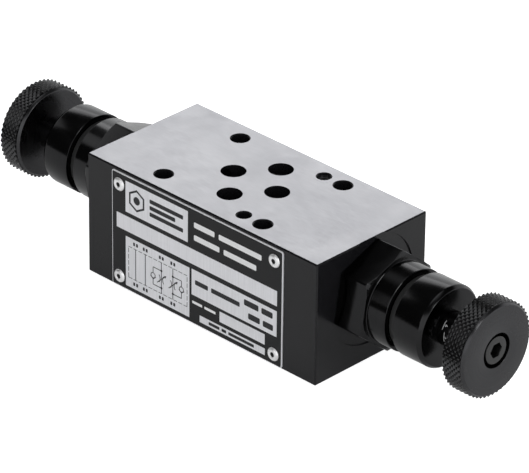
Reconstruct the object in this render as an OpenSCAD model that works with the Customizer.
// Sandwich-plate double throttle-check valve, NG6 port pattern.
// Origin: middle of the mounting bolt pattern, on the lower seal face.
// +X runs along the throttle axis, +Z up through the stack, -Y to the nameplate.

/* [Valve body] */
// Length of the body between its two end faces
body_length = 92; // [90:0.5:96]
// Width of the body, front to back
body_width = 44.5; // [44:0.5:48]
// Height of the body between its two seal faces
body_height = 39; // [39:0.5:44]
// How far the body's middle lies from the bolt pattern's middle, along X
body_offset = 1.25; // [0.5:0.25:2]
// Chamfer on every outer edge
edge_chamfer = 0.4; // [0.2:0.1:1]
// Height of the throttle axis above the lower seal face
axis_height = 22.55; // [22:0.05:23]

/* [Port pattern] */
// Distance of the bolt holes from the pattern's middle, along X
bolt_x = 20.25; // [20.25]
// Distance of the left bolt holes from the middle, along Y
bolt_y_left = 15.5; // [15.5]
// Distance of the right bolt holes from the middle, along Y
bolt_y_right = 16.25; // [16.25]
// Radius of the bolt holes
bolt_hole_r = 2.75; // [2.6:0.05:2.85]
// Countersink at the mouths of the bolt and pin holes
mouth_break = 0.3; // [0.1:0.05:0.4]
// Radius of the four flow ports
port_r = 3.75; // [3:0.05:3.75]
// X of port A
port_a_x = -7.55; // [-7.55]
// X of port B
port_b_x = 9.95; // [9.95]
// X of ports P and T
port_pt_x = 1.25; // [1.25]
// Distance of ports P and T from the throttle axis, along Y
port_pt_y = 10.4; // [10.4]
// X of the two locating pin holes
pin_hole_x = 12.75; // [12.75]
// Distance of the locating pin holes from the middle, along Y
pin_hole_y = 16.25; // [16.25]
// Radius of the locating pin holes
pin_hole_r = 2.1; // [1.8:0.05:2.3]
// Depth of the locating pin holes
pin_hole_depth = 6; // [4:0.5:7]
// Radius of the O-ring pockets in the lower face
pocket_r = 6.15; // [5.8:0.05:6.2]
// Depth of the O-ring pockets
pocket_depth = 1.35; // [1.2:0.05:1.5]

/* [Body drillings] */
// Radius of the shallow spotface around each cartridge
spotface_r = 17.1; // [16.5:0.1:17.2]
// Depth of the spotface
spotface_depth = 0.5; // [0.3:0.1:0.8]
// Radius of the pocket for the O-ring under the hexagon
seal_pocket_r = 12.6; // [12.5:0.1:13]
// Radius of the thread and ring chamber bore
chamber_r = 11; // [11]
// Depth of the ring chamber's inner end below the end face
chamber_depth = 29.5; // [29:0.5:30]
// Radius of the land that seals the seat sleeve
land_r = 8; // [8]
// Depth of the step that the seat sleeve rests on
land_depth = 33; // [33]
// Radius of the nose chamber
nose_r = 6.5; // [6:0.1:6.6]
// Depth of the nose chamber's blind end
nose_depth = 41.5; // [41.5:0.1:42]
// Radius of the slanted drilling from each upper port to its ring chamber
slant_r = 2.2; // [1.8:0.1:2.2]
// Slope of the slanted drilling below the horizontal, in degrees
slant_angle = 26.6; // [26:0.1:27]
// Depth below the upper face at which the slanted drilling starts
slant_start = 1.6; // [1.4:0.1:2]
// Length of the slanted drilling
slant_length = 15; // [15]
// Depth of the upper A and B port mouths
port_mouth_depth = 5; // [5]

/* [Cartridge outside] */
// Width across flats of the hexagon
hex_af = 27; // [24:1:27]
// Distance from the end face to the hexagon's turned front
hex_end = 9.9; // [9:0.1:10]
// Radius where the hexagon's corner chamfer meets its front
hex_face_r = 14; // [13:0.1:14.5]
// Radius of the collar and of the index sleeve
collar_r = 12.5; // [12:0.1:13]
// Distance from the end face to the end of the collar
collar_end = 16.7; // [16:0.1:17]
// Distance from the end face to the start of the index sleeve
sleeve_start = 19.6; // [19:0.1:20]
// Distance from the end face to the front of the index sleeve
sleeve_end = 30; // [29:0.1:30.5]
// Radius of the index sleeve's front
sleeve_face_r = 11.7; // [11:0.1:12.2]
// Length of the index sleeve's front chamfer
sleeve_chamfer = 1.2; // [0.5:0.1:1.5]
// Radius of the neck between collar and index sleeve
neck_r = 10.2; // [9.5:0.1:10.5]
// Small break on turned edges
turned_break = 0.3; // [0.1:0.1:0.4]

/* [Knob] */
// Largest radius over the knurl
knob_r = 14.5; // [13:0.1:16]
// Distance from the right end face to the knob's rear, as stored
knob_rear_right = 39.3; // [38.5:0.1:40]
// Distance from the left end face to the knob's rear, as stored
knob_rear_left = 38.6; // [38.5:0.1:40]
// Thickness of the knob
knob_depth = 8; // [7.5:0.1:9]
// Length of the chamfer behind the knurled rim
knob_rear_chamfer = 0.8; // [0.5:0.1:1.2]
// Length of the chamfer in front of the knurled rim
knob_front_chamfer = 0.8; // [0.5:0.1:1.2]
// Radius of the knob's front face
knob_face_r = 13.4; // [13:0.1:14]
// Radius of the knob's rear face
knob_rear_r = 13.4; // [13:0.1:14]
// Depth of the counterbore for the screw head
screw_pocket_depth = 5; // [4.5:0.1:5]
// Radius of the counterbore for the screw head
screw_pocket_r = 5.3; // [5:0.1:6]
// Radius of the screw head
screw_head_r = 4.25; // [4.25]
// Height of the screw head
screw_head_height = 4.8; // [4.5:0.1:5]
// Width across flats of the hexagon socket
socket_af = 4; // [4]

/* [Setting parts] */
// Radius of the spindle's scale stem
stem_r = 5; // [4.5:0.1:5]
// Radius of the spindle's thread, modelled plain
spindle_thread_r = 5.95; // [5.95]
// Radius of the spindle's sealing piston
piston_r = 6.95; // [6.95]
// Radius of the hanger rod that the throttle spool slides on
rod_r = 2.5; // [2:0.1:2.5]
// Running clearance between pieces that slide or turn
clearance = 0.05; // [0.03:0.01:0.08]
// Wire radius of the check spring
wire_r = 0.45; // [0.3:0.05:0.5]
// Mean radius of the check spring
spring_r = 4.1; // [4:0.05:4.3]
// Number of turns of the check spring
spring_turns = 6; // [4:1:8]

/* [Nameplate] */
// Left edge of the plate
plate_left = -34.2; // [-36:0.1:-33]
// Right edge of the plate
plate_right = 34.5; // [33:0.1:36]
// Lower edge of the plate
plate_low = 0.5; // [0.5:0.1:1]
// Upper edge of the plate
plate_high = 38.1; // [38:0.1:38.3]
// Thickness of the plate
plate_thickness = 0.5; // [0.3:0.1:0.8]
// Corner radius of the plate
plate_corner_r = 0.8; // [0.5:0.1:2]
// X of the two left rivets
rivet_left = -31.1; // [-32:0.1:-31]
// X of the two right rivets
rivet_right = 31.2; // [30:0.1:31.5]
// Height of the two lower rivets
rivet_low = 4; // [3:0.1:5]
// Height of the two upper rivets
rivet_high = 34.2; // [33:0.1:35.5]
// Radius of a rivet's head
rivet_head_r = 2.1; // [1.5:0.1:2.2]
// How far a rivet's dome stands off the plate
rivet_dome = 0.66; // [0.4:0.02:0.8]

/* [Hidden] */
$fn = 96;

// Cuts run past the faces they open by this much.
past = 1;
left = -1;
right = 1;
black_oxide = [0.10, 0.10, 0.11];
body_black = [0.18, 0.18, 0.20];
seal_black = [0.06, 0.06, 0.06];
bright_steel = [0.72, 0.73, 0.75];
brass_tone = [0.75, 0.62, 0.35];
seal_white = [0.90, 0.90, 0.86];

left_end = body_offset - body_length / 2;
right_end = body_offset + body_length / 2;
front_face = -body_width / 2;

// Port O-rings: section radius, and the radii its flattened middle runs between.
port_seal_section = 0.64;
port_seal_inner = 4.9;
port_seal_outer = 5.45;
port_seal_lift = 0.02;

// Slotted spring pin.
pin_gap = 0.03;
pin_wall = 0.8;
pin_length = 4.6;
pin_slot = 0.7;
pin_lift = 0.1;

// Rivets: the hole they are driven into, the shank and the steps of the head.
rivet_hole_r = 1.05;
rivet_hole_depth = 5;
rivet_shank_r = 1;
rivet_shank_length = 4;
rivet_edge = 0.15;
rivet_shoulder_r = 1.7;
rivet_shoulder = 0.45;
rivet_crown_r = 1.1;
rivet_crown = 0.62;
rivet_eye_r = 0.7;
rivet_eye_depth = 0.2;

// Stations along a cartridge, measured outward from the body's end face.
plug_inner_end = -13;
seal_pocket_depth = spotface_depth + 2.1;
relief_r = 10.2;
relief_slope = 0.6;
plug_thread_r = chamber_r - clearance;
plug_lead = 1;
guide_r = 7;
plug_guide_r = guide_r + clearance;
plug_step = 6;
neck_end = 24;
hex_corner_r = hex_af / 2 / cos(30);
plug_seal_r = 11.4;
plug_seal_section = 1;

// Rings between the collar and the knob.
groove_ring_r = 10.95;
groove_ring_gap = 0.15;
wiper_groove_r = 6.6;
wiper_groove_width = 1.6;
wiper_cover = 2;
wiper_gap = 0.1;

// Seat sleeve and its two seals.
sleeve_land_r = land_r - clearance;
sleeve_tube_r = 8.6;
sleeve_lead = 0.4;
sleeve_flange = 3;
seat_r = 4.5;
seat_edge = -29.6;
gland_r = 6.65;
gland_outer = -30.3;
gland_inner = -32.6;
flow_hole_r = 1.9;
flow_hole_station = -26;
flow_hole_count = 6;
sleeve_seal_section = 0.6;
backup_width = 0.8;

// Spindle, from the button at its inner end to the flats under the knob.
button_r = 4;
button_low = -5.1;
button_high = -3.1;
piston_low = -1.4;
piston_high = 3.7;
thread_high = 14.7;
spindle_lead = 0.6;
seal_groove_low = 0.4;
seal_groove_high = 2.1;
seal_groove_r = 5.6;
spindle_seal_section = 0.65;
stem_grip = 2;
stem_flat = 4;

// Knob and its screw.
grip_gap = 0.02;
screw_hole_gap = 0.3;
screw_thread_r = 2.45;
screw_bore_depth = 12;
screw_shank = 10.5;
screw_lead = 0.4;
screw_head_edge = 0.3;
socket_floor = 2;

// Hanger rod, stop ring, throttle spool and check spring.
rod_head_r = 6.8;
rod_head_low = -7;
rod_head_high = -1.5;
rod_tip = -28.8;
rod_lead = 0.3;
spool_r = guide_r - clearance;
spool_back = -15;
spool_edge = 0.3;
spring_seat = -20;
spring_room = 0.3;
cone_start = -22.5;
spool_tip = -27.3;
spool_tip_r = 3;
stop_ring_r = 3.5;
stop_ring_thickness = 0.6;
stop_ring_gap = 0.05;
stop_ring_slot = 1.4;
ring_groove_r = rod_r - 0.4;
ring_groove_low = spool_tip - stop_ring_thickness - 2 * stop_ring_gap;
wire_sides = 6;
steps_per_turn = 18;

// How far the left setting parts stand from the right ones' place, as stored.
left_shift = knob_rear_left - knob_rear_right;
// How the two hexagons ended up turned when the plugs were tightened, in degrees.
left_hex_turn = -8.7;
right_hex_turn = -9.2;

// A solid of revolution about the local Z axis, from (radius, height) points.
module turned(points) {
    rotate_extrude() polygon(points);
}

// A plain cylinder between two stations of the local Z axis.
module rod(r, low, high) {
    translate([0, 0, low]) cylinder(r = r, h = high - low);
}

// A tube between two stations of the local Z axis.
module tube(outer, inner, low, high) {
    difference() {
        rod(outer, low, high);
        rod(inner, low - past, high + past);
    }
}

// A round-section ring with its middle circle at radius r.
module o_ring(r, section_r, station) {
    translate([0, 0, station]) rotate_extrude() translate([r, 0]) circle(r = section_r);
}

// Puts local Z on the throttle axis, pointing out of one end face, 0 at that face.
module on_side(side) {
    translate([side == left ? left_end : right_end, 0, axis_height])
        rotate([0, side * 90, 0]) children();
}

// ---- Body ----

module chamfered_rectangle(size_x, size_y) {
    c = edge_chamfer;
    x = size_x / 2;
    y = size_y / 2;
    polygon([[-x + c, -y], [x - c, -y], [x, -y + c], [x, y - c],
        [x - c, y], [-x + c, y], [-x, y - c], [-x, -y + c]]);
}

// A block with every edge chamfered, from three crossed prisms.
module body_block() {
    translate([body_offset, 0, body_height / 2]) intersection() {
        linear_extrude(height = body_height, center = true)
            chamfered_rectangle(body_length, body_width);
        rotate([90, 0, 0]) linear_extrude(height = body_width, center = true)
            chamfered_rectangle(body_length, body_height);
        rotate([90, 0, 90]) linear_extrude(height = body_length, center = true)
            chamfered_rectangle(body_width, body_height);
    }
}

module vertical_hole(x, y, r, low = -past, high = body_height + past) {
    translate([x, y, low]) cylinder(r = r, h = high - low);
}

// A countersink of 45 degrees at the mouth of a hole in the upper or lower face.
module mouth(x, y, r, face) {
    reach = mouth_break + past;
    up = face > 0;
    translate([x, y, up ? face - mouth_break : -past])
        cylinder(r1 = up ? r : r + reach, r2 = up ? r + reach : r, h = reach);
}

module bolt_hole(x, y) {
    vertical_hole(x, y, bolt_hole_r);
    for (face = [0, body_height]) mouth(x, y, bolt_hole_r, face);
}

module bolt_holes() {
    for (s = [-1, 1]) {
        bolt_hole(-bolt_x, s * bolt_y_left);
        bolt_hole(bolt_x, s * bolt_y_right);
    }
}

module flow_ports() {
    for (s = [-1, 1]) vertical_hole(port_pt_x, s * port_pt_y, port_r);
    for (x = [port_a_x, port_b_x]) {
        vertical_hole(x, 0, port_r, high = axis_height);
        vertical_hole(x, 0, port_r, low = body_height - port_mouth_depth);
    }
}

// Middles of the four O-ring pockets in the lower face.
port_places = [[port_a_x, 0], [port_b_x, 0], [port_pt_x, port_pt_y], [port_pt_x, -port_pt_y]];

// Slanted drilling from an upper port's mouth down and out into the ring chamber.
module slanted_drilling(side, port_x) {
    translate([port_x, 0, body_height - slant_start])
        rotate([0, side * (90 + slant_angle), 0]) cylinder(r = slant_r, h = slant_length);
}

module cartridge_bore() {
    rod(spotface_r, -spotface_depth, past);
    rod(seal_pocket_r, -seal_pocket_depth, past);
    rod(chamber_r, -chamber_depth, past);
    rod(land_r, -land_depth, past);
    rod(nose_r, -nose_depth, past);
}

module rivet_places() {
    for (x = [rivet_left, rivet_right]) for (z = [rivet_low, rivet_high])
        translate([x, front_face, z]) rotate([90, 0, 0]) children();
}

module valve_body() {
    color(body_black) difference() {
        body_block();
        bolt_holes();
        flow_ports();
        for (p = port_places) vertical_hole(p[0], p[1], pocket_r, high = pocket_depth);
        for (s = [-1, 1]) {
            vertical_hole(pin_hole_x, s * pin_hole_y, pin_hole_r, low = body_height - pin_hole_depth);
            mouth(pin_hole_x, s * pin_hole_y, pin_hole_r, body_height);
        }
        for (side = [left, right]) on_side(side) cartridge_bore();
        slanted_drilling(left, port_a_x);
        slanted_drilling(right, port_b_x);
        rivet_places() rod(rivet_hole_r, -rivet_hole_depth, past);
    }
}

// Four O-rings, squeezed flush as they sit between two faces.
module port_seals() {
    width = port_seal_outer - port_seal_inner;
    color(seal_black) for (p = port_places)
        translate([p[0], p[1], port_seal_lift + port_seal_section]) rotate_extrude() union() {
            for (r = [port_seal_inner, port_seal_outer])
                translate([r, 0]) circle(r = port_seal_section);
            translate([port_seal_inner, -port_seal_section]) square([width, 2 * port_seal_section]);
        }
}

// Slotted spring pin pressed below the rim of one pin hole.
module locating_pin() {
    outer = pin_hole_r - pin_gap;
    color(bright_steel) translate([pin_hole_x, pin_hole_y, body_height - pin_hole_depth + pin_lift])
        difference() {
            tube(outer, outer - pin_wall, 0, pin_length);
            translate([0, -pin_slot / 2, -past]) cube([outer + past, pin_slot, pin_length + 2 * past]);
        }
}

// ---- Nameplate ----

module nameplate() {
    w = plate_right - plate_left - 2 * plate_corner_r;
    h = plate_high - plate_low - 2 * plate_corner_r;
    color(body_black) difference() {
        translate([plate_left, front_face, plate_low]) rotate([90, 0, 0])
            linear_extrude(height = plate_thickness) union() {
                translate([plate_corner_r, 0]) square([w, h + 2 * plate_corner_r]);
                translate([0, plate_corner_r]) square([w + 2 * plate_corner_r, h]);
                for (x = [0, w]) for (z = [0, h])
                    translate([x + plate_corner_r, z + plate_corner_r]) circle(r = plate_corner_r);
            }
        rivet_places() rod(rivet_hole_r, -past, past);
    }
}

module nameplate_rivets() {
    t = plate_thickness;
    color(bright_steel) rivet_places() difference() {
        turned([[0, -rivet_shank_length], [rivet_shank_r, -rivet_shank_length], [rivet_shank_r, t],
            [rivet_head_r, t], [rivet_head_r, t + rivet_edge], [rivet_shoulder_r, t + rivet_shoulder],
            [rivet_crown_r, t + rivet_crown], [0, t + rivet_dome]]);
        rod(rivet_eye_r, t - rivet_eye_depth, t + past);
    }
}

// ---- Cartridge, fixed pieces ----

// Hexagon with its outer corners turned off at 30 degrees.
module hexagon() {
    fall = (hex_corner_r + past - hex_face_r) * tan(30);
    intersection() {
        translate([0, 0, -spotface_depth])
            cylinder(r = hex_corner_r, h = hex_end + spotface_depth, $fn = 6);
        turned([[0, -spotface_depth], [hex_corner_r + past, -spotface_depth],
            [hex_corner_r + past, hex_end - fall], [hex_face_r, hex_end], [0, hex_end]]);
    }
}

module plug(turn) {
    b = turned_break;
    color(black_oxide) difference() {
        union() {
            rotate([0, 0, turn]) hexagon();
            turned([[0, 0], [collar_r, 0], [collar_r, collar_end - b], [collar_r - b, collar_end],
                [neck_r, collar_end], [neck_r, neck_end], [0, neck_end]]);
            turned([[0, plug_inner_end], [plug_thread_r - plug_lead, plug_inner_end],
                [plug_thread_r, plug_inner_end + plug_lead],
                [plug_thread_r, -seal_pocket_depth - relief_slope],
                [relief_r, -seal_pocket_depth], [relief_r, 0], [0, 0]]);
        }
        rod(plug_guide_r, plug_inner_end - past, plug_step);
        rod(spindle_thread_r + clearance, plug_inner_end, neck_end + past);
    }
}

module plug_seal() {
    color(seal_black)
        o_ring(plug_seal_r, plug_seal_section, -spotface_depth - plug_seal_section - clearance);
}

// Rubber ring that closes the gap between collar and index sleeve.
module groove_ring() {
    color(seal_black) tube(groove_ring_r, neck_r + clearance,
        collar_end + groove_ring_gap, sleeve_start - groove_ring_gap);
}

module index_sleeve() {
    b = turned_break;
    wiper_low = sleeve_end - wiper_cover - wiper_groove_width;
    color(black_oxide) difference() {
        turned([[0, sleeve_start], [collar_r - b, sleeve_start], [collar_r, sleeve_start + b],
            [collar_r, sleeve_end - sleeve_chamfer], [sleeve_face_r, sleeve_end], [0, sleeve_end]]);
        rod(neck_r + clearance, sleeve_start - past, neck_end + clearance);
        rod(stem_r + 2 * clearance, neck_end - past, sleeve_end + past);
        rod(wiper_groove_r, wiper_low, wiper_low + wiper_groove_width);
    }
}

module wiper() {
    low = sleeve_end - wiper_cover - wiper_groove_width;
    color(seal_black) tube(wiper_groove_r - clearance, stem_r + clearance,
        low + wiper_gap, low + wiper_groove_width - wiper_gap);
}

module seat_sleeve() {
    flange_r = chamber_r - 2 * clearance;
    color(bright_steel) difference() {
        turned([[0, -land_depth], [sleeve_land_r - sleeve_lead, -land_depth],
            [sleeve_land_r, -land_depth + sleeve_lead], [sleeve_land_r, gland_inner],
            [gland_r, gland_inner], [gland_r, gland_outer], [sleeve_land_r, gland_outer],
            [sleeve_land_r, -chamber_depth], [sleeve_tube_r, -chamber_depth],
            [sleeve_tube_r, plug_inner_end - sleeve_flange],
            [flange_r, plug_inner_end - sleeve_flange], [flange_r, plug_inner_end],
            [0, plug_inner_end]]);
        rod(guide_r, seat_edge, past);
        rod(seat_r, -land_depth - past, past);
        for (i = [0 : flow_hole_count - 1]) rotate([0, 0, i * 360 / flow_hole_count])
            translate([0, 0, flow_hole_station]) rotate([90, 0, 0])
                cylinder(r = flow_hole_r, h = chamber_r);
    }
}

module sleeve_seal() {
    color(seal_black) o_ring(gland_r + clearance + sleeve_seal_section, sleeve_seal_section,
        gland_outer - clearance - sleeve_seal_section);
}

module backup_ring() {
    color(seal_white) tube(sleeve_land_r - clearance, gland_r + clearance,
        gland_inner + clearance, gland_inner + clearance + backup_width);
}

// ---- Cartridge, moving pieces; shift is how far they stand from the right side's place ----

module spindle(shift) {
    grip_start = knob_rear_right;
    color(black_oxide) translate([0, 0, shift]) difference() {
        union() {
            turned([[0, button_low], [button_r, button_low], [button_r, button_high],
                [rod_r, button_high], [rod_r, piston_low], [piston_r, piston_low],
                [piston_r, seal_groove_low], [seal_groove_r, seal_groove_low],
                [seal_groove_r, seal_groove_high], [piston_r, seal_groove_high],
                [piston_r, piston_high], [spindle_thread_r, piston_high],
                [spindle_thread_r, thread_high - spindle_lead], [stem_r, thread_high],
                [stem_r, grip_start], [0, grip_start]]);
            intersection() {
                rod(stem_r, grip_start, grip_start + stem_grip);
                translate([-stem_flat, -stem_r, grip_start])
                    cube([2 * stem_flat, 2 * stem_r, stem_grip]);
            }
        }
        rod(screw_thread_r + clearance, grip_start - screw_bore_depth, grip_start + 2 * stem_grip);
    }
}

module spindle_seal(shift) {
    color(seal_black) o_ring(seal_groove_r + clearance + spindle_seal_section,
        spindle_seal_section, (seal_groove_low + seal_groove_high) / 2 + shift);
}

module knob(rear) {
    front = rear + knob_depth;
    flat = stem_flat + grip_gap;
    color(black_oxide) difference() {
        turned([[0, rear], [knob_rear_r, rear], [knob_r, rear + knob_rear_chamfer],
            [knob_r, front - knob_front_chamfer], [knob_face_r, front], [0, front]]);
        rod(screw_pocket_r, front - screw_pocket_depth, front + past);
        rod(screw_thread_r + screw_hole_gap, rear - past, front);
        intersection() {
            rod(stem_r + grip_gap, rear - past, rear + stem_grip);
            translate([-flat, -stem_r - past, rear - past])
                cube([2 * flat, 2 * (stem_r + past), stem_grip + past]);
        }
    }
}

module knob_screw(rear) {
    seat = rear + knob_depth - screw_pocket_depth;
    tip = seat - screw_shank;
    top = seat + screw_head_height;
    color(black_oxide) difference() {
        turned([[0, tip], [screw_thread_r - screw_lead, tip], [screw_thread_r, tip + screw_lead],
            [screw_thread_r, seat], [screw_head_r, seat], [screw_head_r, top - screw_head_edge],
            [screw_head_r - screw_head_edge, top], [0, top]]);
        translate([0, 0, seat + socket_floor])
            cylinder(r = socket_af / 2 / cos(30), h = screw_head_height, $fn = 6);
    }
}

// Rod that the spindle's button moves in and out without turning.
module hanger_rod(shift) {
    neck_w = rod_r + 2 * clearance;
    button_w = button_r + 2 * clearance;
    color(bright_steel) translate([0, 0, shift]) difference() {
        union() {
            rod(rod_head_r, rod_head_low, rod_head_high);
            turned([[0, rod_tip], [rod_r - rod_lead, rod_tip], [rod_r, rod_tip + rod_lead],
                [rod_r, ring_groove_low], [ring_groove_r, ring_groove_low],
                [ring_groove_r, spool_tip], [rod_r, spool_tip], [rod_r, rod_head_low],
                [0, rod_head_low]]);
        }
        rod(neck_w, button_high - past, rod_head_high + past);
        translate([0, -neck_w, button_high - past])
            cube([chamber_r, 2 * neck_w, rod_head_high - button_high + 2 * past]);
        rod(button_w, button_low - clearance, button_high + clearance);
        translate([0, -button_w, button_low - clearance])
            cube([chamber_r, 2 * button_w, button_high - button_low + 2 * clearance]);
    }
}

// Split ring on the rod's tip, which the throttle spool hangs on.
module stop_ring(shift) {
    color(bright_steel) translate([0, 0, shift]) difference() {
        tube(stop_ring_r, ring_groove_r, spool_tip - stop_ring_gap - stop_ring_thickness,
            spool_tip - stop_ring_gap);
        translate([0, -stop_ring_slot / 2, spool_tip - stop_ring_thickness - past])
            cube([stop_ring_r + past, stop_ring_slot, stop_ring_thickness + 2 * past]);
    }
}

module throttle_spool(shift) {
    color(bright_steel) translate([0, 0, shift]) difference() {
        turned([[0, spool_tip], [spool_tip_r, spool_tip], [spool_r, cone_start],
            [spool_r, spool_back - spool_edge], [spool_r - spool_edge, spool_back], [0, spool_back]]);
        rod(rod_r + clearance, spool_tip - past, spool_back + past);
        rod(spring_r + wire_r + spring_room, spring_seat, spool_back + past);
    }
}

// Points round one section of the spring wire, at angle a along the helix.
function wire_section(a, low, pitch) = [for (k = [0 : wire_sides - 1])
    let (turn = k * 360 / wire_sides, r = spring_r + wire_r * cos(turn))
    [r * cos(a), r * sin(a), low + pitch * a / 360 + wire_r * sin(turn)]];

module check_spring(shift) {
    n = wire_sides;
    low = spring_seat + wire_r + clearance;
    high = rod_head_low - wire_r - clearance;
    pitch = (high - low) / spring_turns;
    steps = steps_per_turn * spring_turns;
    points = [for (i = [0 : steps]) each wire_section(i * 360 / steps_per_turn, low, pitch)];
    start_cap = [[for (k = [0 : n - 1]) n - 1 - k]];
    end_cap = [[for (k = [0 : n - 1]) n * steps + k]];
    sides = [for (i = [0 : steps - 1]) for (k = [0 : n - 1])
        [n * i + k, n * i + (k + 1) % n, n * (i + 1) + (k + 1) % n, n * (i + 1) + k]];
    color(brass_tone) translate([0, 0, shift])
        polyhedron(points = points, faces = concat(start_cap, end_cap, sides));
}

valve_body();
port_seals();
locating_pin();
nameplate();
nameplate_rivets();

on_side(left) plug(left_hex_turn);  // left_plug
on_side(left) plug_seal();  // left_plug_seal
on_side(left) groove_ring();  // left_groove_ring
on_side(left) index_sleeve();  // left_index_sleeve
on_side(left) wiper();  // left_wiper
on_side(left) seat_sleeve();  // left_seat_sleeve
on_side(left) sleeve_seal();  // left_sleeve_seal
on_side(left) backup_ring();  // left_backup_ring
on_side(left) spindle(left_shift);  // left_spindle
on_side(left) spindle_seal(left_shift);  // left_spindle_seal
on_side(left) knob(knob_rear_left);  // left_knob
on_side(left) knob_screw(knob_rear_left);  // left_knob_screw
on_side(left) hanger_rod(left_shift);  // left_hanger_rod
on_side(left) stop_ring(left_shift);  // left_stop_ring
on_side(left) throttle_spool(left_shift);  // left_throttle_spool
on_side(left) check_spring(left_shift);  // left_check_spring

on_side(right) plug(right_hex_turn);  // right_plug
on_side(right) plug_seal();  // right_plug_seal
on_side(right) groove_ring();  // right_groove_ring
on_side(right) index_sleeve();  // right_index_sleeve
on_side(right) wiper();  // right_wiper
on_side(right) seat_sleeve();  // right_seat_sleeve
on_side(right) sleeve_seal();  // right_sleeve_seal
on_side(right) backup_ring();  // right_backup_ring
on_side(right) spindle(0);  // right_spindle
on_side(right) spindle_seal(0);  // right_spindle_seal
on_side(right) knob(knob_rear_right);  // right_knob
on_side(right) knob_screw(knob_rear_right);  // right_knob_screw
on_side(right) hanger_rod(0);  // right_hanger_rod
on_side(right) stop_ring(0);  // right_stop_ring
on_side(right) throttle_spool(0);  // right_throttle_spool
on_side(right) check_spring(0);  // right_check_spring
